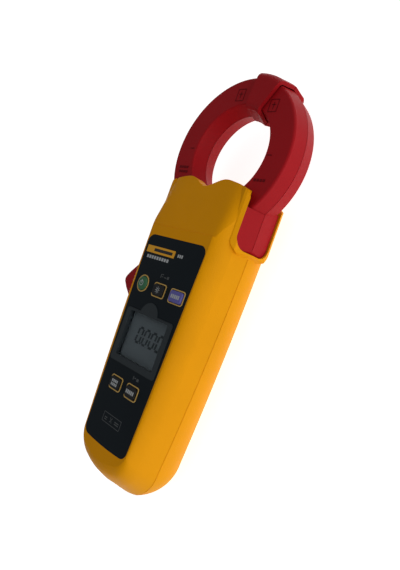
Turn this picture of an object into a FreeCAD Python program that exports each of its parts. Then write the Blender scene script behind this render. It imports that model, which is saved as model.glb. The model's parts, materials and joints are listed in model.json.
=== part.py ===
import FreeCAD, Part
import math
import os

from FreeCAD import Vector

# Leakage-current clamp meter, lying on its back.
# +Z comes out of the display, +Y runs towards the jaw tip, +X is the right-hand side.
# The origin is on the flat back face, 110 mm below the centre of the jaw ring.  Millimetres.

# ---- jaw ring -------------------------------------------------------------
RING_Y = 110.0           # centre of the jaw ring
BORE_R = 23.6            # inside of the ring
RING_R = 42.9            # outside of the ring at the parting plane
RING_LEAN = 1.4          # how far the outside leans in towards the front and the back
RING_BACK = 17.2
RING_FRONT = 34.2
RING_EDGE = 1.5          # rounding of the ring's outer edges
BORE_EDGE = 0.8          # rounding of the bore's edges
BORE_LEAN = 2.6          # how far the bore opens out towards the front and the back
SEAM_HALF = 0.14         # half height of the groove where two mouldings meet
SEAM_DEPTH = 0.35
JAW_WALL = 1.7
BORE_WALL = 4.4          # from the bore to the channel, where the bore is narrowest
CORE_END = 230.0         # the left core stops here, clear of the hub
RIGHT_TIP_SOLID = 8.2    # degrees of solid tip that slide under the guard
SPLIT_ANGLE = 67.0       # where the two jaw tips meet, from +X
SPLIT_HALF_GAP = 0.3     # degrees

# ---- tip guard, part of the left jaw's mouldings ---------------------------
GUARD_FROM = 60.0
GUARD_TO = 84.0
GUARD_PROUD = 2.5
GUARD_GAP = 0.5
TIP_RABBET = 2.9         # how much slimmer the right tip is under the guard

# ---- jaw roots and pivots ---------------------------------------------------
PIVOT_X = 11.0
PIVOT_Y = 72.0
PIN_R = 2.5
PIN_CLEARANCE = 0.05
HUB_R = 10.6
ROOT_X = 32.3            # outer side face of each root
ROOT_LOW_Y = 60.3
ROOT_TOP_Y = 81.4
ROOT_REAR_TOP_Y = 85.0   # the rear half of the root rises towards the back
ROOT_BACK = 15.0
ROOT_FRONT = 37.2
ROOT_CORNER_R = 3.0
ROOT_FRONT_X = 29.4      # the side face leans in towards the face and the back
ROOT_BACK_X = 31.2
JAW_OPEN_DEG = 16.0
GEAR_TEETH = 22
GEAR_BACK = 23.0
GEAR_FRONT = 29.0

# ---- trigger ----------------------------------------------------------------
TRIGGER_BACK = 15.8
TRIGGER_FRONT = 28.0
TRIGGER_SWEEP_R = 64.2
TRIGGER_EDGE = 2.0

# ---- housing ------------------------------------------------------------------
PARTING_Z = 26.0
FACE_Z = 46.0
WALL = 2.2
RUNNING_GAP = 0.35
BACK_ROUND = 0.86        # share of the half width that the back's rounding takes
BACK_FLAT = 0.97         # how far round the rounding goes before it meets the flat back
END_PULL = 0.13          # how much rounder the end gets per millimetre towards the back
SLOPE_START_Y = 62.0     # above this line the front slopes down to the jaws
SLOPE_TOP_Y = 95.0
SLOPE_TOP_Z = 40.2
NECK_INNER_FRONT = 37.6
NECK_INNER_BACK = 14.6
NECK_LOW_Y = 58.5
NECK_POCKET_TOP_Y = 84.0
DECK = 2.4               # floor under the jaws, between them and the hollow back
WINDOW_LOW_Y = 60.5
WINDOW_BACK = 14.8
WINDOW_FRONT = 37.9
WINDOW_CORNER_R = 6.5
LIP_WIDTH = 2.4
LIP_X = 33.6
LIP_INNER_X = 26.2
TOP_CORNER_Y = 84.4      # the top edge at the outside of the lips

# ---- face ------------------------------------------------------------------
PANEL_TOP_Y = 56.5
PANEL_LOW_Y = -52.4
PANEL_TOP_HALF = 23.4
PANEL_LOW_HALF = 18.9
PANEL_CORNER_R = 4.5
PANEL_BOW = 0.9
PANEL_THICK = 0.8
FACE_WALL_BACK = 43.4
LCD_HALF_X = 15.7
LCD_LOW_Y = -9.0
LCD_TOP_Y = 15.0
BEZEL_HALF_X = 19.2
BEZEL_LOW_Y = -12.4
BEZEL_TOP_Y = 16.2
BEZEL_PROUD = 0.3
TAB_X = -1.0
TAB_Y = 14.8
TAB_R = 7.2
LENS_TOP = 44.5
BUTTON_TOP = 47.2
BUTTON_TRAVEL = 0.8
BUTTON_GAP = 0.3
# name: (x, y, half width, half height); the power button is round
BUTTONS = {
    "power_button": (-14.4, 30.0, 3.7, 3.7),
    "backlight_button": (0.0, 29.2, 4.1, 2.9),
    "hold_button": (14.4, 29.0, 4.7, 2.9),
    "range_button": (-7.0, -22.5, 4.1, 2.9),
    "filter_button": (7.0, -22.5, 4.1, 2.9),
}

# ---- inside ------------------------------------------------------------------
PCB_BACK = 36.4
PCB_FRONT = 38.0
CELL_R = 7.0
CELL_X = 7.4
CELL_Z = 12.7
CELL_LOW_Y = -59.4
CELL_TOP_Y = -8.9
DOOR_HALF_X = 17.0
DOOR_LOW_Y = -65.0
DOOR_TOP_Y = -3.0
DOOR_THICK = 1.8
DOOR_GAP = 0.3
DOOR_SCREW_Y = -6.6
CASE_SCREWS = [(0.0, 50.0), (19.4, 6.0), (-19.4, 1.6)]
CASE_HEAD_Z = 8.6
SCREW_R = 1.5
SCREW_HEAD_R = 2.9


# ---- small helpers ----------------------------------------------------------
def box(x0, x1, y0, y1, z0, z1):
    return Part.makeBox(x1 - x0, y1 - y0, z1 - z0, Vector(x0, y0, z0))


def cylinder(x, y, z0, z1, radius):
    return Part.makeCylinder(radius, z1 - z0, Vector(x, y, z0))


def prism(points, z0, z1):
    """Closed outline of straight sides, raised from z0 to z1."""
    corners = [Vector(x, y, z0) for x, y in points]
    face = Part.Face(Part.makePolygon(corners + corners[:1]))
    return face.extrude(Vector(0, 0, z1 - z0))


def slab(x, y, half_x, half_y, z0, z1, corner):
    """Rounded rectangle, centred at x, y."""
    body = box(x - half_x, x + half_x, y - half_y, y + half_y, z0, z1)
    upright = [e for e in body.Edges if abs(e.tangentAt(e.FirstParameter).z) > 0.9]
    return body.makeFillet(corner, upright)


def fuse(shapes):
    shapes = list(shapes)
    return shapes[0].multiFuse(shapes[1:]).removeSplitter()


def mirror_x(shape):
    return shape.mirror(Vector(0, 0, 0), Vector(1, 0, 0))


def turned(shape, pivot_x, degrees):
    copy = shape.copy()
    copy.rotate(Vector(pivot_x, PIVOT_Y, 0), Vector(0, 0, 1), degrees)
    return copy


# ---- housing outlines --------------------------------------------------------
def outline(z, top_half, mid_half, low_half, low_y, end_y, end_bow=2.4):
    """Plan outline of the housing at one level: straight neck, bowed sides, rounded end."""
    corner = Vector(0.6 * low_half, end_y + end_bow, z)
    corner_mid = Vector(0.862 * low_half, low_y + 0.655 * (corner.y - low_y), z)

    def side(sign):
        neck = Vector(sign * top_half, 100, z)
        shoulder = Vector(sign * top_half, SLOPE_START_Y, z)
        middle = Vector(sign * mid_half, 2, z)
        low = Vector(sign * low_half, low_y, z)
        bend = Vector(sign * corner_mid.x, corner_mid.y, z)
        turn = Vector(sign * corner.x, corner.y, z)
        return [Part.makeLine(neck, shoulder),
                Part.Arc(shoulder, middle, low).toShape(),
                Part.Arc(low, bend, turn).toShape()], neck, turn

    right, right_neck, right_turn = side(1)
    left, left_neck, left_turn = side(-1)
    end = Part.Arc(right_turn, Vector(0, end_y, z), left_turn).toShape()
    top = Part.makeLine(left_neck, right_neck)
    return Part.Wire(Part.__sortEdges__([top] + right + [end] + left[::-1]))


SIDE_LEVELS = [(PARTING_Z, 31.7, 28.9, 23.5, -56.0, -74.0),
               (36.0, 30.1, 27.6, 22.3, -55.3, -69.6)]
SHOULDER_LEVELS = [(39.0, 29.2, 26.9, 21.9, -54.7, -68.1),
                   (41.6, 28.0, 25.9, 21.4, -53.9, -66.5),
                   (43.9, 26.4, 24.6, 20.8, -52.7, -64.5),
                   (FACE_Z - 0.7, 25.0, 23.4, 20.2, -51.6, -62.3),
                   (FACE_Z, 23.9, 22.4, 19.6, -50.4, -60.4)]
CAVITY_LEVELS = [(41.0, 27.4, 25.6, 21.2, -53.6, -65.6),
                 (FACE_WALL_BACK, 25.7, 24.0, 20.5, -52.2, -63.2)]


def level_wires(levels, inset):
    return [outline(z, top - inset, mid - inset, low - inset, low_y, end + inset)
            for z, top, mid, low, low_y, end in levels]


def front_outer():
    """Front half of the housing: straight side up to a crease, then a rounded shoulder to the face."""
    side = Part.makeLoft(level_wires(SIDE_LEVELS, 0.0), True, True)
    shoulder = Part.makeLoft(level_wires(SIDE_LEVELS[1:] + SHOULDER_LEVELS, 0.0), True, False)
    return side.fuse(shoulder)


def rear_levels(inset):
    """Rear half, drawn in towards the back by an elliptical rounding."""
    ends = [(26.0, -74.0), (20.0, -74.3), (14.0, -73.3), (8.0, -70.8), (4.0, -67.7), (1.2, -63.8), (0.0, -59.5)]
    wires = []
    for z, end_y in ends:
        drop = BACK_FLAT * (PARTING_Z - z) / PARTING_Z
        share = 1 - BACK_ROUND * (1 - math.sqrt(1 - drop * drop))
        lift = inset * (1 - z / PARTING_Z)
        low_y = -56.0 + max(0.0, end_y + 74.0) * 0.55
        wires.append(outline(z + lift, 31.7 * share - inset, 28.9 * share - inset,
                             23.5 * share - inset, low_y, end_y + inset, 2.4 + END_PULL * (PARTING_Z - z)))
    return wires


def top_edge_tool(shift=0.0):
    """Everything above the housing's top edge, which dips in the middle under the ring."""
    half = [(0.0, 87.5), (6.0, 89.7), (12.3, 92.3), (20.0, 91.6), (26.0, 90.2), (29.5, 88.6), (34.5, TOP_CORNER_Y)]
    points = [(-x, y) for x, y in half[:0:-1]] + half
    curve = Part.BSplineCurve()
    curve.interpolate([Vector(x, y + shift, -5) for x, y in points])
    left = Vector(-34.5, TOP_CORNER_Y + shift, -5)
    right = Vector(34.5, TOP_CORNER_Y + shift, -5)
    frame = Part.makePolygon([right, Vector(50, TOP_CORNER_Y + shift, -5), Vector(50, 140, -5),
                              Vector(-50, 140, -5), Vector(-50, TOP_CORNER_Y + shift, -5), left])
    wire = Part.Wire([curve.toShape()] + frame.Edges)
    return Part.Face(wire).extrude(Vector(0, 0, 60))


def slope_section(y, drops):
    """Arched section of the neck's front, closed above it."""
    half = [(x, z) for x, z in zip((0.0, 18.0, 22.0, 25.0, 27.0, 29.0, 31.0, 34.0), drops)]
    points = [Vector(-x, y, z) for x, z in half[:0:-1]] + [Vector(x, y, z) for x, z in half]
    curve = Part.BSplineCurve()
    curve.interpolate(points)
    lid = Part.makePolygon([points[-1], Vector(60, y, 60), Vector(-60, y, 60), points[0]])
    return Part.Wire([curve.toShape()] + lid.Edges)


def slope_tool():
    """Takes the front above the panel down to the jaws, lower towards its sides."""
    start = (45.65, 45.65, 45.6, 45.3, 44.3, 41.5, 37.5, 32.0)
    end = (SLOPE_TOP_Z, 40.1, 39.8, 39.2, 38.6, 37.6, 35.8, 31.0)
    sections = [slope_section(SLOPE_START_Y, start), slope_section(SLOPE_TOP_Y, end), slope_section(130.0, end)]
    return Part.makeLoft(sections, True, True)


def low_rounded(x0, x1, low, z0, z1, radius):
    """Block open towards the jaw tip, with its two lower edges along X rounded."""
    body = box(x0, x1, low, 130, z0, z1)
    corner_edges = [e for e in body.Edges
                    if abs(e.CenterOfMass.y - low) < 0.01 and abs(e.tangentAt(e.FirstParameter).x) > 0.9]
    return body.makeFillet(radius, corner_edges)


def window_block(grow, x_in, x_out):
    """Side window that the jaw root shows through, open towards the jaw tip."""
    return low_rounded(x_in, x_out, WINDOW_LOW_Y - grow, WINDOW_BACK - grow, WINDOW_FRONT + grow,
                       WINDOW_CORNER_R + grow * 0.5)


def window_lips():
    """Raised lip around each side window; its outside leans in towards the face and the back."""
    lip = window_block(LIP_WIDTH, LIP_INNER_X, LIP_X).cut(window_block(0.0, 20.0, 60.0))
    lip = lip.cut(box(20, 50, 95, 140, 0, 60))
    lean = [Vector(LIP_X, 50, PARTING_Z), Vector(31.4, 50, 37.2), Vector(29.4, 50, 39.6), Vector(27.6, 50, 40.6),
            Vector(60, 50, 45), Vector(60, 50, 5), Vector(28.5, 50, 10.0), Vector(31.4, 50, 12.6),
            Vector(32.9, 50, 16.0)]
    lean_tool = Part.Face(Part.makePolygon(lean + lean[:1])).extrude(Vector(0, 50, 0))
    handle_chamfer = prism([(LIP_X, WINDOW_LOW_Y - 0.4), (LIP_X + 3, WINDOW_LOW_Y - 0.4), (LIP_X + 3, 54),
                            (30.8, WINDOW_LOW_Y - LIP_WIDTH)], 0, 60)
    top_corner = prism([(25.8, 91.2), (28.0, 89.8), (29.6, 88.0), (30.6, 86.0), (31.2, 83.4), (40, 83.4), (40, 96), (25.8, 96)],
                       33.0, 60)
    lip = lip.cut([lean_tool, handle_chamfer, top_corner])
    return [lip, mirror_x(lip)]


def window_cuts():
    right = window_block(0.0, 27.0, 60.0)
    return [right, mirror_x(right)]


def trigger_slot():
    """Opening in the left wall for the trigger's whole swing."""
    low = PIVOT_Y - math.sqrt(TRIGGER_SWEEP_R ** 2 - (29.3 - PIVOT_X) ** 2) - 0.9
    return box(-45, -24, low, WINDOW_LOW_Y + 0.5, TRIGGER_BACK - 0.6, TRIGGER_FRONT + 0.6)


def root_relief():
    """Space swept by both jaw roots and their trigger, with a running gap all round."""
    envelope = root_block(RUNNING_GAP)
    arm = prism(trigger_outline(RUNNING_GAP), TRIGGER_BACK - RUNNING_GAP, TRIGGER_FRONT + RUNNING_GAP)
    steps = [JAW_OPEN_DEG * i / 6 for i in range(7)]
    left = [turned(envelope, -PIVOT_X, a) for a in steps]
    sweep = left + [mirror_x(s) for s in left]
    return sweep + [turned(arm, -PIVOT_X, a) for a in steps]


def housing_seam():
    """Shallow groove round the housing where the two shells meet."""
    z, top, mid, low, low_y, end = SIDE_LEVELS[0]
    rim = outline(z - SEAM_HALF, top - SEAM_DEPTH, mid - SEAM_DEPTH, low - SEAM_DEPTH, low_y, end + SEAM_DEPTH)
    inside = Part.Face(rim).extrude(Vector(0, 0, 2 * SEAM_HALF))
    band = box(-60, 60, -90, 120, PARTING_Z - SEAM_HALF, PARTING_Z + SEAM_HALF)
    lip_zone = box(29, 60, WINDOW_LOW_Y - LIP_WIDTH - 0.2, 100, 20, 30)
    return band.cut([inside, lip_zone, mirror_x(lip_zone)])


def jaw_seam():
    """The same groove round the ring's outside, its bore and the root's side."""
    z0 = PARTING_Z - SEAM_HALF
    z1 = PARTING_Z + SEAM_HALF
    outside = box(-60, 60, 81.5, 170, z0, z1).cut(cylinder(0, RING_Y, 0, 60, RING_R - SEAM_DEPTH))
    bore = cylinder(0, RING_Y, z0, z1, BORE_R + SEAM_DEPTH)
    side = box(-60, -ROOT_X + SEAM_DEPTH, 50, 81.5, z0, z1)
    return [outside, bore, side]


def case_holes(head_z):
    tools = []
    for x, y in CASE_SCREWS:
        tools.append(cylinder(x, y, -1, head_z, SCREW_HEAD_R + 0.2))
        tools.append(cylinder(x, y, -1, 34.2, SCREW_R))
    return tools


def panel_face_outline(grow):
    """Panel outline: tapered sides and a slightly bowed lower edge."""
    top = PANEL_TOP_Y + grow
    low = PANEL_LOW_Y - grow
    wide = PANEL_TOP_HALF + grow
    narrow = PANEL_LOW_HALF + grow
    edges = [Part.makeLine(Vector(-wide, top, 0), Vector(wide, top, 0)),
             Part.makeLine(Vector(wide, top, 0), Vector(narrow, low, 0)),
             Part.Arc(Vector(narrow, low, 0), Vector(0, low - PANEL_BOW, 0), Vector(-narrow, low, 0)).toShape(),
             Part.makeLine(Vector(-narrow, low, 0), Vector(-wide, top, 0))]
    return Part.Face(Part.Wire(edges))


def panel_plate(grow, z0, z1):
    face = panel_face_outline(grow)
    face.translate(Vector(0, 0, z0))
    plate = face.extrude(Vector(0, 0, z1 - z0))
    upright = [e for e in plate.Edges if abs(e.tangentAt(e.FirstParameter).z) > 0.9]
    return plate.makeFillet(PANEL_CORNER_R + grow, upright)


def bezel_plate(grow, z0, z1):
    """Frame around the display, with its rounded tab on top."""
    mid_y = (BEZEL_LOW_Y + BEZEL_TOP_Y) / 2
    half_y = (BEZEL_TOP_Y - BEZEL_LOW_Y) / 2
    plate = slab(0, mid_y, BEZEL_HALF_X + grow, half_y + grow, z0, z1, 1.6)
    tab = cylinder(TAB_X, TAB_Y, z0, z1, TAB_R + grow)
    return fuse([plate, tab])


def button_block(name, grow, z0, z1):
    x, y, half_x, half_y = BUTTONS[name]
    if name == "power_button":
        return cylinder(x, y, z0, z1, half_x + grow)
    return slab(x, y, half_x + grow, half_y + grow, z0, z1, 1.3 + grow * 0.5)


# ---- housing pieces ----------------------------------------------------------
def front_shell():
    outer = front_outer()
    cavity = Part.makeLoft(level_wires(SIDE_LEVELS + CAVITY_LEVELS, WALL), True, True)
    neck = cavity.common(box(-50, 50, NECK_LOW_Y, 110, 20, NECK_INNER_FRONT))
    low = cavity.common(box(-50, 50, -90, NECK_LOW_Y, 20, 60))
    lips = [lip.common(box(-50, 50, 40, 96, PARTING_Z, 60)) for lip in window_lips()]
    shell = outer.cut(slope_tool()).multiFuse(lips).cut([neck, low])
    visor = top_edge_tool(-1.8).common(box(-28.5, 28.5, 80, 96, RING_FRONT + 0.5, NECK_INNER_FRONT + 0.3))
    bosses = [cylinder(0, CASE_SCREWS[0][1], PARTING_Z, FACE_WALL_BACK + 0.5, 3.3)]
    for x, y in CASE_SCREWS[1:]:
        bosses.append(cylinder(x, y, PARTING_Z, PCB_BACK - 0.05, 3.3))
        rib = box(min(x, x * 1.5), max(x, x * 1.5), y - 1.2, y + 1.2, PARTING_Z, PCB_BACK - 0.05)
        bosses.append(rib.common(outer))
    tongues = [box(x - 2.5, x + 2.5, -69.9, -68.1, 22.5, 28.6) for x in (-8.0, 8.0)]
    shell = shell.multiFuse([visor] + bosses + tongues)
    cuts = [top_edge_tool(), trigger_slot(), housing_seam(), panel_plate(0.05, FACE_Z - PANEL_THICK, FACE_Z + 1)]
    cuts += window_cuts() + root_relief() + case_holes(CASE_HEAD_Z + 2.0)
    cuts += [button_block(n, BUTTON_GAP, 40, 50) for n in BUTTONS]
    cuts.append(box(-LCD_HALF_X - 0.8, LCD_HALF_X + 0.8, LCD_LOW_Y - 0.8, LCD_TOP_Y + 0.8, 40, 50))
    cuts += [cylinder(s * PIVOT_X, PIVOT_Y, 20, 41.6, PIN_R) for s in (-1, 1)]
    return shell.cut(cuts).removeSplitter()


def rear_outer(inset):
    return Part.makeLoft(rear_levels(inset)[::-1], True, False)


def rear_cavity():
    return Part.makeLoft(rear_levels(WALL)[::-1], True, True)


def rear_shell():
    cavity = rear_cavity()
    neck = cavity.common(box(-50, 50, NECK_LOW_Y, 110, NECK_INNER_BACK, 30))
    low = cavity.common(box(-50, 50, -90, NECK_LOW_Y, -5, 30))
    under_deck = cavity.common(box(-50, 50, NECK_LOW_Y - 1, NECK_POCKET_TOP_Y, -5, NECK_INNER_BACK - DECK))
    lips = [lip.common(box(-50, 50, 40, 96, 0, PARTING_Z)) for lip in window_lips()]
    outer = rear_outer(0.0)
    shell = outer.multiFuse(lips).cut([neck, low, under_deck])
    visor = top_edge_tool(-1.8).common(box(-26.5, 26.5, 80, 96, NECK_INNER_BACK - 0.3, RING_BACK - 0.5))
    bosses = [cylinder(x, y, 0.5, PARTING_Z, 4.7).common(outer) for x, y in CASE_SCREWS]
    bosses += [cylinder(s * PIVOT_X, PIVOT_Y, 0.5, NECK_INNER_BACK - 0.5, 5.0).common(outer) for s in (-1, 1)]
    shell = shell.multiFuse([visor] + bosses)
    cuts = [top_edge_tool(), trigger_slot(), housing_seam()] + window_cuts() + root_relief() + case_holes(CASE_HEAD_Z + 2.0)
    cuts += [cylinder(s * PIVOT_X, PIVOT_Y, 9, 30, PIN_R) for s in (-1, 1)]
    cuts.append(door_block(DOOR_GAP, -2, 8))
    return shell.cut(cuts).removeSplitter()


def door_block(grow, z0, z1):
    mid_y = (DOOR_LOW_Y + DOOR_TOP_Y) / 2
    half_y = (DOOR_TOP_Y - DOOR_LOW_Y) / 2
    return slab(0, mid_y, DOOR_HALF_X + grow, half_y + grow, z0, z1, 3.0)


def battery_door():
    door = rear_outer(0.0).cut(rear_outer(DOOR_THICK)).common(door_block(0.0, -2, 7))
    pad = cylinder(0, DOOR_SCREW_Y, 0.4, 3.4, 3.9)
    pad = pad.cut(cylinder(0, DOOR_SCREW_Y, -1, 0.41, 4.5))
    door = door.fuse(pad)
    holes = [cylinder(0, DOOR_SCREW_Y, -1, 2.4, SCREW_HEAD_R + 0.2), cylinder(0, DOOR_SCREW_Y, -1, 5, SCREW_R + 0.1)]
    return door.cut(holes).removeSplitter()


def slotted_screw(x, y, head_z, length):
    """Pan-head screw pointing +Z, with a cross recess in its head."""
    head = cylinder(x, y, head_z, head_z + 2.0, SCREW_HEAD_R)
    shank = cylinder(x, y, head_z + 1.9, head_z + 2.0 + length, SCREW_R)
    cross = [box(x - 2.0, x + 2.0, y - 0.4, y + 0.4, head_z - 1, head_z + 1.0),
             box(x - 0.4, x + 0.4, y - 2.0, y + 2.0, head_z - 1, head_z + 1.0)]
    return head.fuse(shank).cut(cross)


def battery_tray():
    """Liner between the cells and the electronics, with the door screw's column."""
    top = box(-16.2, 16.2, -65.6, -3.2, 20.1, 21.3)
    ends = [box(-14.5, 14.5, -8.4, -7.2, 6.0, 20.2), box(-14.5, 14.5, -65.6, -64.4, 9.0, 20.2)]
    divider = box(-0.35, 0.35, -58, -14, 14.0, 20.2)
    column = cylinder(0, DOOR_SCREW_Y, 3.8, 20.2, 3.4)
    tray = fuse([top] + ends + [divider, column])
    room = Part.makeLoft(rear_levels(WALL + 0.2)[::-1], True, True)
    return tray.common(room).cut(cylinder(0, DOOR_SCREW_Y, 2, 11.0, 2.3))


def battery_contacts():
    """Flat plates at the cells' tops and coil springs at their bottoms."""
    pieces = []
    for x in (-CELL_X, CELL_X):
        pieces.append(box(x - 4, x + 4, CELL_TOP_Y + 0.1, CELL_TOP_Y + 0.4, 9.0, 18.0))
        pieces.append(box(x - 2.7, x + 2.7, CELL_LOW_Y - 3.8, CELL_LOW_Y - 3.5, 10.6, 17.5))
        for turn in range(3):
            ring = Part.makeTorus(3.4 - turn * 0.6, 0.4, Vector(x, CELL_LOW_Y - 3.05 + turn * 1.1, CELL_Z), Vector(0, 1, 0))
            pieces.append(ring)
    return Part.makeCompound(pieces)


def aa_cell(x):
    along = Vector(0, 1, 0)
    can = Part.makeCylinder(CELL_R, CELL_TOP_Y - 1.2 - CELL_LOW_Y, Vector(x, CELL_LOW_Y, CELL_Z), along)
    can = can.makeFillet(0.5, [e for e in can.Edges if abs(e.Length - 2 * math.pi * CELL_R) < 0.1])
    nub = Part.makeCylinder(2.7, 1.3, Vector(x, CELL_TOP_Y - 1.3, CELL_Z), along)
    return can.fuse(nub)


# ---- face pieces ---------------------------------------------------------------
def face_overlay():
    plate = panel_plate(0.0, FACE_Z - PANEL_THICK, FACE_Z)
    cuts = [button_block(n, BUTTON_GAP, 40, 50) for n in BUTTONS]
    return plate.cut(cuts + [bezel_plate(0.05, 40, 50)])


def lcd_bezel():
    """Display frame; its skirt goes down through the face wall and hides the lens's edge."""
    mid_y = (LCD_LOW_Y + LCD_TOP_Y) / 2
    half_y = (LCD_TOP_Y - LCD_LOW_Y) / 2
    plate = bezel_plate(0.0, FACE_Z - PANEL_THICK, FACE_Z + BEZEL_PROUD)
    skirt = box(-LCD_HALF_X - 0.75, LCD_HALF_X + 0.75, LCD_LOW_Y - 0.75, LCD_TOP_Y + 0.75,
                FACE_WALL_BACK, FACE_Z - PANEL_THICK)
    return plate.fuse(skirt).cut(slab(0, mid_y, LCD_HALF_X, half_y, 40, 50, 0.8)).removeSplitter()


def lcd_lens():
    mid_y = (LCD_LOW_Y + LCD_TOP_Y) / 2
    half_y = (LCD_TOP_Y - LCD_LOW_Y) / 2
    return slab(0, mid_y, LCD_HALF_X - 0.02, half_y - 0.02, FACE_WALL_BACK + 0.1, LENS_TOP, 0.8)


def button(name):
    cap = button_block(name, 0.0, 42.2, BUTTON_TOP)
    rim = [e for e in cap.Edges if abs(e.CenterOfMass.z - BUTTON_TOP) < 0.01]
    cap = cap.makeFillet(1.1 if name == "power_button" else 0.5, rim)
    flange = button_block(name, 0.9, 42.2, 43.0)
    return cap.fuse(flange).removeSplitter()


def keypad_mat():
    sheet = slab(0, 4.0, 17.9, 34.5, PCB_FRONT + 0.1, 39.3, 2.0)
    sheet = sheet.cut(box(-17.0, 17.0, -15.0, 18.9, 30, 50))
    bumps = [cylinder(x, y, 39.2, 42.2 - BUTTON_TRAVEL - 0.1, 2.4) for x, y, _, _ in BUTTONS.values()]
    return fuse([sheet] + bumps)


# ---- electronics ------------------------------------------------------------
def main_pcb():
    board = prism([(-21.0, 54), (21.0, 54), (17.0, -52), (-17.0, -52)], PCB_BACK, PCB_FRONT)
    x, y = CASE_SCREWS[0]
    return board.cut(cylinder(x, y, 30, 45, 3.6))


def pcb_chips():
    chips = [box(-14, -4, -20, -10, 35.0, 36.35), box(3, 11, -44, -36, 35.2, 36.35),
             box(-13, -8, -46, -40, 34.8, 36.35), box(-6, 6, 33, 41, 34.6, 36.35)]
    return Part.makeCompound(chips)


def pcb_shield():
    can = box(2.0, 18.0, -30.0, -4.0, 32.5, 36.3)
    return can.cut(box(2.4, 17.6, -29.6, -4.4, 32.9, 37.0))


def buzzer():
    return cylinder(12.0, 30.0, 31.9, 36.3, 6.0).cut(cylinder(12.0, 30.0, 31, 32.6, 1.0))


def lcd_contact_strips():
    return Part.makeCompound([box(-16, 16, y, y + 1.5, PCB_FRONT, 41.2) for y in (-14.1, 17.0)])


# ---- jaws --------------------------------------------------------------------
def ring_section(bulge, z0, z1):
    """Closed ring section between z0 and z1, grown outwards by bulge."""
    edge = RING_EDGE + bulge
    lip = BORE_EDGE + bulge
    r0 = BORE_R - bulge
    r1 = RING_R + bulge
    back = RING_BACK - bulge
    front = RING_FRONT + bulge
    rim = r1 - RING_LEAN
    mouth = r0 + BORE_LEAN
    points = [(mouth, back + lip), (mouth + lip, back), (rim - edge, back), (rim, back + edge), (r1, PARTING_Z),
              (rim, front - edge), (rim - edge, front), (mouth + lip, front), (mouth, front - lip),
              (r0, PARTING_Z)]
    bend = 1 - math.sqrt(0.5)
    bends = {0: (mouth + lip * bend, back + lip * bend), 2: (rim - edge * bend, back + edge * bend),
             5: (rim - edge * bend, front - edge * bend), 7: (mouth + lip * bend, front - lip * bend)}
    edges = []
    for i, (r, z) in enumerate(points):
        nr, nz = points[(i + 1) % len(points)]
        start, end = Vector(r, 0, z), Vector(nr, 0, nz)
        if i in bends:
            edges.append(Part.Arc(start, Vector(bends[i][0], 0, bends[i][1]), end).toShape())
        else:
            edges.append(Part.makeLine(start, end))
    face = Part.Face(Part.Wire(edges))
    return face.common(Part.makeBox(120, 2, z1 - z0, Vector(-10, -1, z0)))


def swept(face, from_deg, to_deg):
    """Turns a section lying in the XZ plane about the ring's axis."""
    start = face.copy()
    start.rotate(Vector(0, 0, 0), Vector(0, 0, 1), from_deg)
    solid = start.revolve(Vector(0, 0, 0), Vector(0, 0, 1), to_deg - from_deg)
    solid.translate(Vector(0, RING_Y, 0))
    return solid


def root_block(grow):
    """Root of the left jaw: side block, hub around the pin and bridge above the hub."""
    z0 = ROOT_BACK - grow
    z1 = ROOT_FRONT + grow
    low = ROOT_LOW_Y - grow
    profile = [Vector(-ROOT_X - grow, low, z0), Vector(-ROOT_X - grow, low, z1),
               Vector(-ROOT_X - grow, ROOT_TOP_Y + grow, z1), Vector(-ROOT_X - grow, ROOT_TOP_Y + grow, PARTING_Z),
               Vector(-ROOT_X - grow, ROOT_REAR_TOP_Y + grow, z0)]
    side = Part.Face(Part.makePolygon(profile + profile[:1])).extrude(Vector(ROOT_X - 11.6 + 2 * grow, 0, 0))
    side = side.common(low_rounded(-60, 0, low, z0, z1, WINDOW_CORNER_R - 0.4 + grow))
    corner_block = box(-ROOT_X - grow, 0, low, 120, 0, 60)
    corner = [e for e in corner_block.Edges if abs(e.tangentAt(e.FirstParameter).z) > 0.9
              and e.CenterOfMass.x < -20 and e.CenterOfMass.y < 70]
    side = side.common(corner_block.makeFillet(ROOT_CORNER_R, corner))
    lean = [Vector(-ROOT_X - grow, 40, PARTING_Z), Vector(-ROOT_FRONT_X - grow, 40, z1),
            Vector(-60, 40, z1 + 1), Vector(-60, 40, z0 - 1), Vector(-ROOT_BACK_X - grow, 40, z0)]
    side = side.cut(Part.Face(Part.makePolygon(lean + lean[:1])).extrude(Vector(0, 60, 0)))
    hub = cylinder(-PIVOT_X, PIVOT_Y, z0, z1, HUB_R + grow)
    bridge = box(-12.0, -0.35, PIVOT_Y, ROOT_TOP_Y + grow, z0, z1)
    return fuse([side, hub, bridge])


def gear_pocket():
    return [cylinder(s * PIVOT_X, PIVOT_Y, GEAR_BACK, GEAR_FRONT, 12.4) for s in (-1, 1)]


def core_channel(z0, z1):
    """Hollow inside the ring for the laminated core and its winding."""
    inner = BORE_R + BORE_WALL
    outer = RING_R - RING_LEAN - JAW_WALL
    corners = [Vector(inner, 0, RING_BACK + JAW_WALL), Vector(outer, 0, RING_BACK + JAW_WALL),
               Vector(outer, 0, RING_FRONT - JAW_WALL), Vector(inner, 0, RING_FRONT - JAW_WALL)]
    face = Part.Face(Part.makePolygon(corners + corners[:1]))
    return face.common(Part.makeBox(120, 2, z1 - z0, Vector(-10, -1, z0)))


def jaw_ring(z0, z1, from_deg):
    """One half of a jaw's ring, cut clear of the hub's lower side."""
    ring = swept(ring_section(0.0, z0, z1), from_deg, 269.4)
    return ring.cut(box(-13, 13, 60, PIVOT_Y, 0, 60))


def jaw_root(z0, z1):
    """The left root's material between z0 and z1, with its inside hollowed around the hub."""
    root = root_block(0.0).common(box(-60, 60, 40, 100, z0, z1))
    hollow = box(-ROOT_FRONT_X + 2.0, -19.0, ROOT_LOW_Y + 2.0, 74.0, ROOT_BACK + 2.0, ROOT_FRONT - 3.2)
    hollow = hollow.common(box(-60, 60, 40, 100, z0, z1))
    return root.cut(hollow)


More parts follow.
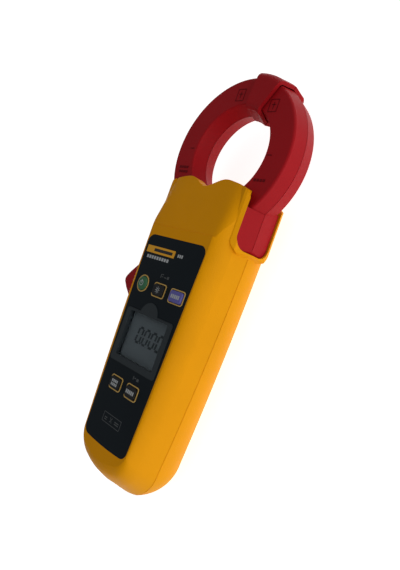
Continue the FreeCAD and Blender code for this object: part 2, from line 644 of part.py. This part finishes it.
def jaw_half(z0, z1, ring, channel_from):
    """Ring and root in one moulding, hollowed for the core from its closed tip to the hub."""
    bore = cylinder(-PIVOT_X, PIVOT_Y, 0, 60, PIN_R + PIN_CLEARANCE)
    channel = swept(core_channel(z0, z1), channel_from, CORE_END + 3.0)
    body = ring.fuse(jaw_root(z0, z1))
    return body.cut([bore, channel] + gear_pocket() + jaw_seam()).removeSplitter()


def tip_guard(z0, z1):
    """Hood that stands proud over the meeting jaw tips, and covers the right one."""
    outer = ring_section(GUARD_PROUD, z0, z1)
    inner = ring_section(GUARD_GAP, z0 - 1, z1 + 1)
    core = ring_section(-0.2, z0 - 1, z1 + 1)
    over_right = swept(outer, GUARD_FROM, SPLIT_ANGLE + 1.2).cut(swept(inner, GUARD_FROM - 1, SPLIT_ANGLE + 1.3))
    over_left = swept(outer, SPLIT_ANGLE + 1.1, GUARD_TO).cut(swept(core, SPLIT_ANGLE, GUARD_TO + 1))
    return over_right.fuse(over_left)


def left_jaw(z0, z1):
    ring = jaw_ring(z0, z1, SPLIT_ANGLE + SPLIT_HALF_GAP)
    return jaw_half(z0, z1, fuse([ring, tip_guard(z0, z1)]), SPLIT_ANGLE + 2.2)


def right_jaw(z0, z1):
    """Built mirrored, as the left one, then turned over."""
    tip = 180.0 - SPLIT_ANGLE + SPLIT_HALF_GAP
    ring = jaw_ring(z0, z1, tip)
    step_face = ring_section(0.0, z0, z1).common(box(RING_R - TIP_RABBET, 60, -2, 2, 0, 60))
    guard_end = 180.0 - GUARD_FROM + 0.5
    ring = ring.cut(swept(step_face, tip - 1, guard_end))
    return mirror_x(jaw_half(z0, z1, ring, tip + RIGHT_TIP_SOLID))


def core_section(inset_r, z0, z1):
    inner = BORE_R + BORE_WALL + inset_r
    outer = RING_R - RING_LEAN - JAW_WALL - inset_r
    points = [Vector(r, 0, z) for r, z in ((inner, z0), (outer, z0), (outer, z1), (inner, z1))]
    return Part.Face(Part.makePolygon(points + points[:1]))


def jaw_core(from_deg, to_deg):
    return swept(core_section(2.4, 21.4, 30.0), from_deg, to_deg)


def jaw_coil(from_deg, to_deg):
    """Winding around the core, kept short of the jaw's ends."""
    outside = swept(core_section(0.5, 19.5, 31.9), from_deg, to_deg)
    return outside.cut(swept(core_section(2.4, 21.4, 30.0), from_deg - 1, to_deg + 1))


def sync_gear():
    """Gear of the left jaw; its teeth are only where the two jaws mesh."""
    gear = cylinder(0, 0, GEAR_BACK, GEAR_FRONT, 9.7)
    pitch = 360.0 / GEAR_TEETH
    for i in range(-2, 3):
        tooth = prism([(9.3, -1.0), (10.3, -0.85), (11.0, -0.68), (11.9, -0.32),
                       (11.9, 0.32), (11.0, 0.68), (10.3, 0.85), (9.3, 1.0)], GEAR_BACK, GEAR_FRONT)
        tooth.rotate(Vector(0, 0, 0), Vector(0, 0, 1), i * pitch)
        gear = gear.fuse(tooth)
    gear = gear.removeSplitter().cut(cylinder(0, 0, 0, 60, PIN_R + PIN_CLEARANCE))
    gear.translate(Vector(-PIVOT_X, PIVOT_Y, 0))
    return gear


def right_sync_gear():
    gear = sync_gear()
    gear.rotate(Vector(-PIVOT_X, PIVOT_Y, 0), Vector(0, 0, 1), 180.0 / GEAR_TEETH)
    return mirror_x(gear)


def pivot_pin(sign):
    return cylinder(sign * PIVOT_X, PIVOT_Y, 9.2, 41.4, PIN_R)


def trigger_outline(grow):
    """Plan of the trigger: fin outside the housing, arm inside it up to the root's lower face."""
    arc_points = []
    for degrees in (236, 241, 246, 251, 256):
        a = math.radians(degrees)
        reach = TRIGGER_SWEEP_R + grow
        arc_points.append((-PIVOT_X + reach * math.cos(a), PIVOT_Y + reach * math.sin(a)))
    fin = [(-26.6 - grow, 60.3), (-38.2 - grow * 0.7, 50.8 + grow * 0.7), (-47.8 - grow * 0.7, 41.7 + grow * 0.7),
           (-54.2 - grow, 34.9 + grow * 0.5), (-57.0 - grow, 31.2), (-57.5 - grow, 29.2),
           (-56.8 - grow, 27.2 - grow * 0.5), (-53.6 - grow * 0.7, 23.9 - grow * 0.7)]
    arm = [(-20.5 + grow, 18.0), (-17.5 + grow, 45.0), (-15.0 + grow, 60.3)]
    return fin + arc_points + arm


def trigger():
    blade = prism(trigger_outline(0.0), TRIGGER_BACK, TRIGGER_FRONT)
    rims = [e for e in blade.Edges
            if e.CenterOfMass.x < -30.5 and abs(e.tangentAt(e.FirstParameter).z) < 0.1]
    return blade.makeFillet(TRIGGER_EDGE, rims)


def return_spring():
    """Torsion spring around the left pin, in a pocket of the jaw's hub."""
    radius = 4.6
    helix = Part.makeHelix(1.3, 4.8, radius)
    wire_end = Part.Wire(Part.makeCircle(0.5, Vector(radius, 0, 0), Vector(0, 1, 0)))
    coil = Part.Wire(helix).makePipeShell([wire_end], True, True)
    coil.translate(Vector(-PIVOT_X, PIVOT_Y, 30.0))
    return coil


# ---- all pieces ---------------------------------------------------------------
def pieces():
    spring_pocket = cylinder(-PIVOT_X, PIVOT_Y, GEAR_FRONT, 35.8, 5.6)
    made = {
        "front_shell": front_shell(),
        "rear_shell": rear_shell(),
        "face_overlay": face_overlay(),
        "lcd_bezel": lcd_bezel(),
        "lcd_lens": lcd_lens(),
        "lcd_glass": box(-17.8, 17.8, -14.3, 18.4, 41.2, 43.3),
        "lcd_backlight": box(-16.8, 16.8, -12.2, 16.8, 39.6, 41.15),
        "lcd_contact_strips": lcd_contact_strips(),
        "keypad_mat": keypad_mat(),
        "main_pcb": main_pcb(),
        "pcb_chips": pcb_chips(),
        "pcb_shield": pcb_shield(),
        "buzzer": buzzer(),
        "battery_door": battery_door(),
        "door_screw": slotted_screw(0, DOOR_SCREW_Y, 0.35, 7.0),
        "door_screw_insert": cylinder(0, DOOR_SCREW_Y, 4.0, 10.8, 2.3).cut(
            cylinder(0, DOOR_SCREW_Y, 2, 9.8, SCREW_R + 0.05)),
        "battery_tray": battery_tray(),
        "battery_contacts": battery_contacts(),
        "battery_cell_left": aa_cell(-CELL_X),
        "battery_cell_right": aa_cell(CELL_X),
        "case_screws": Part.makeCompound([slotted_screw(x, y, CASE_HEAD_Z, 23.0) for x, y in CASE_SCREWS]),
        "left_jaw_front": left_jaw(PARTING_Z, 60.0).cut(spring_pocket),
        "left_jaw_rear": left_jaw(0.0, PARTING_Z),
        "right_jaw_front": right_jaw(PARTING_Z, 60.0),
        "right_jaw_rear": right_jaw(0.0, PARTING_Z),
        "left_core": jaw_core(SPLIT_ANGLE + 2.4, CORE_END),
        "right_core": jaw_core(180.0 - CORE_END, SPLIT_ANGLE - RIGHT_TIP_SOLID - 0.6),
        "left_coil": jaw_coil(80.0, CORE_END - 4.0),
        "right_coil": jaw_coil(184.0 - CORE_END, 56.0),
        "left_sync_gear": sync_gear(),
        "right_sync_gear": right_sync_gear(),
        "left_pivot_pin": pivot_pin(-1),
        "right_pivot_pin": pivot_pin(1),
        "return_spring": return_spring(),
        "trigger": trigger(),
    }
    for name in BUTTONS:
        made[name] = button(name)
    return made


def main():
    os.makedirs("parts", exist_ok=True)
    for name, shape in pieces().items():
        shape.exportStep(os.path.join("parts", name + ".step"))
        size = shape.BoundBox
        print("%-20s solids %d valid %s volume %.0f box %.1f %.1f %.1f .. %.1f %.1f %.1f" % (
            name, len(shape.Solids), shape.isValid(), shape.Volume,
            size.XMin, size.YMin, size.ZMin, size.XMax, size.YMax, size.ZMax))


main()
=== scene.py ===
import json
import math

import bmesh
import bpy
from mathutils import Matrix, Vector


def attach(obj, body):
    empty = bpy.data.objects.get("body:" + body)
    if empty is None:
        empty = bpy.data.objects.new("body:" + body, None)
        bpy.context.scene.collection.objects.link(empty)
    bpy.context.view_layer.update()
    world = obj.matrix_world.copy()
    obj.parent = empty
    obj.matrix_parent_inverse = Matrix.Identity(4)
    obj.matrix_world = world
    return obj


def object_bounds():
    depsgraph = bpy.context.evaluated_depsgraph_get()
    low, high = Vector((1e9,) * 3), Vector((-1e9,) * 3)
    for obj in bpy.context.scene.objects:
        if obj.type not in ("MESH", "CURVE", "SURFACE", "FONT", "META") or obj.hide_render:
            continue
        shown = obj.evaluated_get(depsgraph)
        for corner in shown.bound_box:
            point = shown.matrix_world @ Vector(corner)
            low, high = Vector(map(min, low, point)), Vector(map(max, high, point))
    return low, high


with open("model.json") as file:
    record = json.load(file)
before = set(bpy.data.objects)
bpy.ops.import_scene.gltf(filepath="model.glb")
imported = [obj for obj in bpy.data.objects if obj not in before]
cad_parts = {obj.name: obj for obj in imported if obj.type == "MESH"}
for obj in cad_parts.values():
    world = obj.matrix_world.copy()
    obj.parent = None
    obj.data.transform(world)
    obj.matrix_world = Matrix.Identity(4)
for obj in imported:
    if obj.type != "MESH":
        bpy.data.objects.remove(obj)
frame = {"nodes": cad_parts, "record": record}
cad_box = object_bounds()

MM = 0.001
# Places and sizes on the object below are in millimetres in the frame's axes.
RING_Y = 110.0


# ---- camera, light, floor ------------------------------------------------------
def add_camera():
    data = bpy.data.cameras.new("camera")
    data.sensor_width = 36.0
    data.lens = 34.52
    data.clip_start = 0.01
    camera = bpy.data.objects.new("camera", data)
    bpy.context.collection.objects.link(camera)
    forward = Vector((-0.731, 0.030, -0.681)).normalized()
    up = Vector((-0.212, 0.940, 0.268))
    right = forward.cross(up).normalized()
    up = right.cross(forward)
    turn = Matrix((right, up, -forward)).transposed().to_4x4()
    camera.matrix_world = Matrix.Translation(Vector((0.2138, 0.0306, 0.2200))) @ turn
    bpy.context.scene.camera = camera


def make_floor():
    """Large plain sheet just under the object."""
    bm = bmesh.new()
    bmesh.ops.create_grid(bm, x_segments=1, y_segments=1, size=6.0)
    mesh = bpy.data.meshes.new("floor")
    bm.to_mesh(mesh)
    bm.free()
    floor = bpy.data.objects.new("floor", mesh)
    floor.location.z = cad_box[0][2] - 0.0001
    bpy.context.collection.objects.link(floor)
    mesh.materials.append(MATERIALS["floor"])
    return floor


def area_light(name, place, target, size, power, colour=(1, 1, 1)):
    data = bpy.data.lights.new(name, "AREA")
    data.shape = "RECTANGLE"
    data.size, data.size_y = size
    data.energy = power
    data.color = colour
    light = bpy.data.objects.new(name, data)
    bpy.context.collection.objects.link(light)
    light.location = place
    light.rotation_euler = (Vector(target) - Vector(place)).to_track_quat("-Z", "Y").to_euler()


def add_lights():
    area_light("key_right", (0.75, -0.10, 0.22), (0.0, 0.03, 0.03), (0.9, 0.35), 1.95)
    area_light("top_soft", (-0.1, 0.2, 0.9), (0.0, 0.0, 0.0), (0.9, 0.9), 0.3)
    area_light("tip_soft", (0.25, 0.75, 0.35), (0.0, 0.1, 0.03), (0.5, 0.4), 0.5)
    world = bpy.data.worlds.new("studio")
    world.use_nodes = True
    world.node_tree.nodes["Background"].inputs["Color"].default_value = (1, 1, 1, 1)
    world.node_tree.nodes["Background"].inputs["Strength"].default_value = 0.28
    bpy.context.scene.world = world
    bpy.context.scene.view_settings.view_transform = "Standard"


# ---- materials -----------------------------------------------------------------
def material(name, colour, rough, grain=0.0, grain_scale=1800.0, tone=0.05, metal=0.0, coat=0.0,
             specular=0.5, emission=0.0):
    """Moulded or printed surface: slow tone variation, fine grain in bump and roughness."""
    mat = bpy.data.materials.new(name)
    mat.use_nodes = True
    nodes = mat.node_tree.nodes
    links = mat.node_tree.links
    shader = nodes["Principled BSDF"]
    shader.inputs["Metallic"].default_value = metal
    shader.inputs["Specular IOR Level"].default_value = specular
    shader.inputs["Coat Weight"].default_value = coat
    coords = nodes.new("ShaderNodeTexCoord")
    slow = nodes.new("ShaderNodeTexNoise")
    slow.inputs["Scale"].default_value = 35.0
    slow.inputs["Detail"].default_value = 3.0
    links.new(coords.outputs["Object"], slow.inputs["Vector"])
    ramp = nodes.new("ShaderNodeValToRGB")
    ramp.color_ramp.elements[0].position = 0.3
    ramp.color_ramp.elements[1].position = 0.7
    ramp.color_ramp.elements[0].color = tuple(c * (1 - tone) for c in colour) + (1.0,)
    ramp.color_ramp.elements[1].color = tuple(min(1.0, c * (1 + tone)) for c in colour) + (1.0,)
    links.new(slow.outputs["Fac"], ramp.inputs["Fac"])
    links.new(ramp.outputs["Color"], shader.inputs["Base Color"])
    fine = nodes.new("ShaderNodeTexNoise")
    fine.inputs["Scale"].default_value = grain_scale
    fine.inputs["Detail"].default_value = 2.0
    links.new(coords.outputs["Object"], fine.inputs["Vector"])
    spread = nodes.new("ShaderNodeMapRange")
    spread.inputs["To Min"].default_value = max(0.02, rough - 0.06)
    spread.inputs["To Max"].default_value = min(1.0, rough + 0.06)
    links.new(fine.outputs["Fac"], spread.inputs["Value"])
    links.new(spread.outputs["Result"], shader.inputs["Roughness"])
    if grain:
        bump = nodes.new("ShaderNodeBump")
        bump.inputs["Strength"].default_value = grain
        bump.inputs["Distance"].default_value = 0.0002
        links.new(fine.outputs["Fac"], bump.inputs["Height"])
        links.new(bump.outputs["Normal"], shader.inputs["Normal"])
    if emission:
        shader.inputs["Emission Color"].default_value = tuple(colour) + (1.0,)
        shader.inputs["Emission Strength"].default_value = emission
    return mat


def clear_plastic(name):
    """Thin clear window: hardly bends light, with a faint surface grain."""
    mat = material(name, (0.90, 0.93, 0.94), 0.08, tone=0.01, specular=0.2)
    shader = mat.node_tree.nodes["Principled BSDF"]
    shader.inputs["Transmission Weight"].default_value = 1.0
    shader.inputs["IOR"].default_value = 1.03
    return mat


MATERIALS = {
    "amber_plastic": material("amber_plastic", (0.78, 0.315, 0.0012), 0.48, grain=0.5, tone=0.03,
                              specular=0.05),
    "red_plastic": material("red_plastic", (0.37, 0.0075, 0.012), 0.46, grain=0.4, tone=0.05, specular=0.09),
    "panel_black": material("panel_black", (0.0040, 0.0085, 0.0125), 0.5, grain=0.08, tone=0.08,
                            specular=0.12),
    "bezel_grey": material("bezel_grey", (0.028, 0.036, 0.041), 0.45, grain=0.08, specular=0.15),
    "clear_lens": clear_plastic("clear_lens"),
    "lcd_grey": material("lcd_grey", (0.150, 0.172, 0.186), 0.4, specular=0.15),
    "lcd_ink": material("lcd_ink", (0.044, 0.053, 0.058), 0.5, specular=0.1),
    "diffuser_white": material("diffuser_white", (0.75, 0.78, 0.75), 0.4),
    "keypad_rubber": material("keypad_rubber", (0.04, 0.04, 0.045), 0.8, grain=0.2),
    "circuit_board": material("circuit_board", (0.01, 0.09, 0.035), 0.35),
    "chip_black": material("chip_black", (0.01, 0.01, 0.011), 0.5),
    "tinned_steel": material("tinned_steel", (0.55, 0.55, 0.54), 0.32, metal=1.0, tone=0.08),
    "insert_brass": material("insert_brass", (0.62, 0.42, 0.13), 0.35, metal=1.0),
    "inner_plastic": material("inner_plastic", (0.02, 0.02, 0.022), 0.6, grain=0.2),
    "cell_jacket": material("cell_jacket", (0.04, 0.06, 0.22), 0.3, coat=0.4),
    "core_steel": material("core_steel", (0.18, 0.18, 0.19), 0.5, metal=0.8),
    "coil_copper": material("coil_copper", (0.45, 0.14, 0.04), 0.35, metal=1.0),
    "button_green": material("button_green", (0.022, 0.13, 0.05), 0.42, grain=0.1),
    "button_violet": material("button_violet", (0.10, 0.095, 0.36), 0.42, grain=0.1),
    "button_black": material("button_black", (0.008, 0.009, 0.011), 0.42, grain=0.1, specular=0.25),
    # Darker copy of the red plastic: painted shade for the shadowed moulded marks on the jaws.
    "red_painted_shade": material("red_painted_shade", (0.15, 0.003, 0.006), 0.5, grain=0.25, specular=0.08),
    "print_tan": material("print_tan", (0.66, 0.42, 0.12), 0.45, specular=0.2),
    "print_amber": material("print_amber", (0.80, 0.38, 0.02), 0.45, specular=0.2),
    "print_white": material("print_white", (0.42, 0.44, 0.45), 0.5),
    "print_grey": material("print_grey", (0.055, 0.062, 0.066), 0.5),
    "print_black": material("print_black", (0.006, 0.006, 0.007), 0.5),
    "floor": material("floor", (0.93, 0.93, 0.93), 0.9, tone=0.004, emission=0.85, specular=0.1),
}


def dress_cad():
    """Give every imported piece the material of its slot."""
    for row in frame["record"]["subparts"]:
        piece = frame["nodes"][row["node"]]
        piece.data.materials.clear()
        piece.data.materials.append(MATERIALS[row["material_slot"]])


# ---- mesh helpers ----------------------------------------------------------------
def finish_mesh(bm, name, mat, body):
    bmesh.ops.recalc_face_normals(bm, faces=bm.faces)
    mesh = bpy.data.meshes.new(name)
    bm.to_mesh(mesh)
    bm.free()
    piece = bpy.data.objects.new(name, mesh)
    bpy.context.collection.objects.link(piece)
    mesh.materials.append(MATERIALS[mat])
    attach(piece, body)
    return piece


def rounded(x, y, half_x, half_y, radius, steps=6):
    """Corner-rounded rectangle as a closed loop of points, in millimetres."""
    points = []
    corners = [(1, 1, 0), (-1, 1, 90), (-1, -1, 180), (1, -1, 270)]
    for sx, sy, start in corners:
        for i in range(steps + 1):
            a = math.radians(start + 90.0 * i / steps)
            points.append((x + sx * (half_x - radius) + radius * math.cos(a),
                           y + sy * (half_y - radius) + radius * math.sin(a)))
    return points


def circle(x, y, radius, steps=40):
    return [(x + radius * math.cos(math.tau * i / steps), y + radius * math.sin(math.tau * i / steps))
            for i in range(steps)]


def add_plate(bm, loop, z0, z1):
    """Closed flat piece with the loop as its outline."""
    low = [bm.verts.new((x * MM, y * MM, z0 * MM)) for x, y in loop]
    high = [bm.verts.new((x * MM, y * MM, z1 * MM)) for x, y in loop]
    bm.faces.new(high)
    bm.faces.new(low[::-1])
    for i in range(len(loop)):
        j = (i + 1) % len(loop)
        bm.faces.new((low[i], low[j], high[j], high[i]))


def add_band(bm, outer, inner, z0, z1):
    """Closed flat ring between two loops with the same number of points."""
    rings = [[bm.verts.new((x * MM, y * MM, z * MM)) for x, y in loop]
             for loop, z in ((outer, z0), (outer, z1), (inner, z1), (inner, z0))]
    count = len(outer)
    for a in range(4):
        b = (a + 1) % 4
        for i in range(count):
            j = (i + 1) % count
            bm.faces.new((rings[a][i], rings[a][j], rings[b][j], rings[b][i]))


def bar(x, y, half_x, half_y, slant=0.0):
    return [(x - half_x - slant, y - half_y), (x + half_x - slant, y - half_y),
            (x + half_x + slant, y + half_y), (x - half_x + slant, y + half_y)]


# Heights of the raised details, each sunk a little into the face that carries it.
PRINT_LOW = 45.95
PRINT_TOP = 46.04
RING_LOW = 45.9
RING_TOP = 46.2
KEY_LOW = 47.15
KEY_TOP = 47.23
LCD_LOW = 43.28
LCD_TOP = 43.38
JAW_MARK_LOW = 34.12
JAW_MARK_TOP = 34.32


def printed(name, loops, mat, z0=PRINT_LOW, z1=PRINT_TOP, body="housing"):
    bm = bmesh.new()
    for loop in loops:
        add_plate(bm, loop, z0, z1)
    return finish_mesh(bm, name, mat, body)


# ---- face details ------------------------------------------------------------------
BUTTONS = {
    "power_button": (-14.4, 30.0, 4.6, 4.6),
    "backlight_button": (0.0, 29.2, 5.0, 3.75),
    "hold_button": (14.4, 29.0, 5.65, 3.75),
    "range_button": (-7.0, -22.5, 5.0, 3.75),
    "filter_button": (7.0, -22.5, 5.0, 3.75),
}
RING_WIDTH = 0.55
RING_CORNER = 1.5


def button_rings():
    """Raised outline round each button."""
    for name, (x, y, half_x, half_y) in BUTTONS.items():
        bm = bmesh.new()
        if name == "power_button":
            outer, inner = circle(x, y, half_x), circle(x, y, half_x - RING_WIDTH)
        else:
            outer = rounded(x, y, half_x, half_y, RING_CORNER)
            inner = rounded(x, y, half_x - RING_WIDTH, half_y - RING_WIDTH, RING_CORNER - RING_WIDTH)
        add_band(bm, outer, inner, RING_LOW, RING_TOP)
        finish_mesh(bm, name + "_ring", "print_tan", "housing")


def button_symbols():
    """Switch and lamp symbols on two buttons, and short bars on the other three."""
    x, y = BUTTONS["power_button"][:2]
    bm = bmesh.new()
    add_band(bm, circle(x, y, 1.5), circle(x, y, 1.15), KEY_LOW, KEY_TOP)
    add_plate(bm, bar(x, y + 0.9, 0.18, 1.0), KEY_LOW, KEY_TOP + 0.02)
    finish_mesh(bm, "power_symbol", "print_white", "power_button")
    x, y = BUTTONS["backlight_button"][:2]
    bm = bmesh.new()
    add_band(bm, circle(x, y, 0.85), circle(x, y, 0.55), KEY_LOW, KEY_TOP)
    for i in range(8):
        a = math.tau * i / 8
        c, s = math.cos(a), math.sin(a)
        corners = ((1.15, -0.12), (1.75, -0.12), (1.75, 0.12), (1.15, 0.12))
        ray = [(x + r * c - w * s, y + r * s + w * c) for r, w in corners]
        add_plate(bm, ray, KEY_LOW, KEY_TOP)
    finish_mesh(bm, "backlight_symbol", "print_white", "backlight_button")
    rows = {"hold_button": [(0.0, 5)], "range_button": [(0.95, 4), (-0.95, 4)], "filter_button": [(0.0, 5)]}
    for name, lines in rows.items():
        x, y = BUTTONS[name][:2]
        loops = []
        half_y = 0.7 if len(lines) > 1 else 0.95
        for dy, count in lines:
            for i in range(count):
                loops.append(bar(x + (i - (count - 1) / 2) * 1.35, y + dy, 0.48, half_y))
        printed(name.replace("button", "marks"), loops, "print_white", KEY_LOW, KEY_TOP, name)


def panel_prints():
    """Plain strips, bars and small generic icons printed on the face overlay."""
    printed("maker_strip", [bar(-9.6, 48.6, 11.7, 1.9)], "print_amber")
    printed("maker_strip_line", [bar(-7.4, 48.6, 7.6, 0.8)], "print_black", PRINT_LOW, PRINT_TOP + 0.03)
    printed("model_marks", [bar(5.0 + i * 1.5, 48.6, 0.5, 0.8) for i in range(3)], "print_white")
    printed("name_marks", [bar(-18.6 + i * 2.1, 44.6, 0.75, 0.85) for i in range(9)], "print_white")
    icon = [bar(-2.4, 36.6, 0.25, 1.0), bar(-1.2, 36.3, 0.7, 0.2), bar(-1.2, 37.5, 0.7, 0.2),
            bar(1.3, 36.2, 0.9, 0.25), bar(3.4, 36.4, 0.7, 0.7)]
    printed("upper_icons", icon, "print_grey")
    icon = [bar(4.6, -15.6, 0.3, 0.9), bar(6.0, -15.4, 0.7, 0.25), bar(8.2, -15.8, 0.9, 0.7)]
    printed("lower_icons", icon, "print_grey")
    bm = bmesh.new()
    outer = rounded(0, -40.0, 7.8, 2.5, 0.3, 2)
    inner = rounded(0, -40.0, 7.5, 2.2, 0.2, 2)
    add_band(bm, outer, inner, PRINT_LOW, PRINT_TOP)
    finish_mesh(bm, "note_frame", "print_grey", "housing")
    marks = [bar(-5.2, -40.0, 1.1, 0.25), bar(-5.2, -41.0, 1.1, 0.2), bar(-0.6, -40.0, 0.25, 1.3, 0.9),
             bar(-0.6, -40.0, 0.25, 1.3, -0.9), bar(4.4, -39.6, 1.8, 0.25), bar(4.4, -40.6, 1.8, 0.25)]
    printed("note_marks", marks, "print_grey")


def seven_segment(x, y, lit, half_x=1.75, half_y=3.9, weight=0.62):
    """Bars of one slanted display digit."""
    slant = 0.10
    places = {"a": (0, half_y, 1), "g": (0, 0, 1), "d": (0, -half_y, 1),
              "b": (half_x, half_y / 2, 0), "c": (half_x, -half_y / 2, 0),
              "f": (-half_x, half_y / 2, 0), "e": (-half_x, -half_y / 2, 0)}
    loops = []
    for key in lit:
        dx, dy, flat = places[key]
        cx, cy = x + dx + slant * dy, y + dy
        if flat:
            loops.append(bar(cx, cy, half_x - 0.45, weight))
        else:
            loops.append(bar(cx, cy, weight, half_y / 2 - 0.45, slant * half_y / 2))
    return loops


def display_digits():
    """Four zeros with a decimal point, and a unit mark."""
    loops = []
    for i in range(4):
        loops += seven_segment(-5.6 + i * 5.6, 4.4, "abcdef")
    loops.append(bar(-3.2, 0.6, 0.45, 0.45))
    loops.append(bar(14.3, 8.0, 0.9, 0.8))
    printed("lcd_digits", loops, "lcd_ink", LCD_LOW, LCD_TOP)


# ---- jaw details --------------------------------------------------------------------
def line(x0, y0, x1, y1, half):
    """Thin straight bar between two points."""
    length = math.hypot(x1 - x0, y1 - y0)
    dx, dy = half * (y1 - y0) / length, half * (x1 - x0) / length
    return [(x0 + dx, y0 - dy), (x1 + dx, y1 - dy), (x1 - dx, y1 + dy), (x0 - dx, y0 + dy)]


def framed_cross(bm, cx, cy, z0, z1):
    """Moulded frame with a cross inside."""
    add_band(bm, rounded(cx, cy, 2.9, 3.5, 0.3, 2), rounded(cx, cy, 2.5, 3.1, 0.2, 2), z0, z1)
    add_plate(bm, line(cx - 1.3, cy + 0.5, cx + 1.3, cy + 0.5, 0.22), z0, z1)
    add_plate(bm, line(cx, cy - 1.9, cx, cy + 1.9, 0.22), z0, z1)


def jaw_marks():
    """Marks moulded on the jaws' faces: framed crosses by the tips, ticks, and two rows of short bars, all
    in a darker red that is painted shade standing in for the shadow in their moulded edges.
    """
    z0, z1 = JAW_MARK_LOW, JAW_MARK_TOP
    bm = bmesh.new()
    framed_cross(bm, -6.0, RING_Y + 31.7, z0, z1)
    add_plate(bm, line(-31.3, RING_Y + 0.7, -28.2, RING_Y + 0.7, 0.25), z0, z1)
    for i in range(4):
        add_plate(bm, bar(-34.2 + i * 2.0, RING_Y - 10.6, 0.75, 0.7), z0, z1)
        add_plate(bm, bar(-33.6 + i * 2.0, RING_Y - 13.2, 0.75, 0.7), z0, z1)
    finish_mesh(bm, "left_jaw_marks", "red_painted_shade", "left_jaw")
    bm = bmesh.new()
    framed_cross(bm, 20.4, RING_Y + 24.9, z0, z1)
    add_plate(bm, line(27.6, RING_Y - 1.1, 30.8, RING_Y - 1.1, 0.25), z0, z1)
    for i in range(4):
        add_plate(bm, bar(25.6 + i * 2.0, RING_Y - 14.2, 0.75, 0.7), z0, z1)
    finish_mesh(bm, "right_jaw_marks", "red_painted_shade", "right_jaw")


add_camera()
add_lights()
dress_cad()
button_rings()
button_symbols()
panel_prints()
display_digits()
jaw_marks()

make_floor()
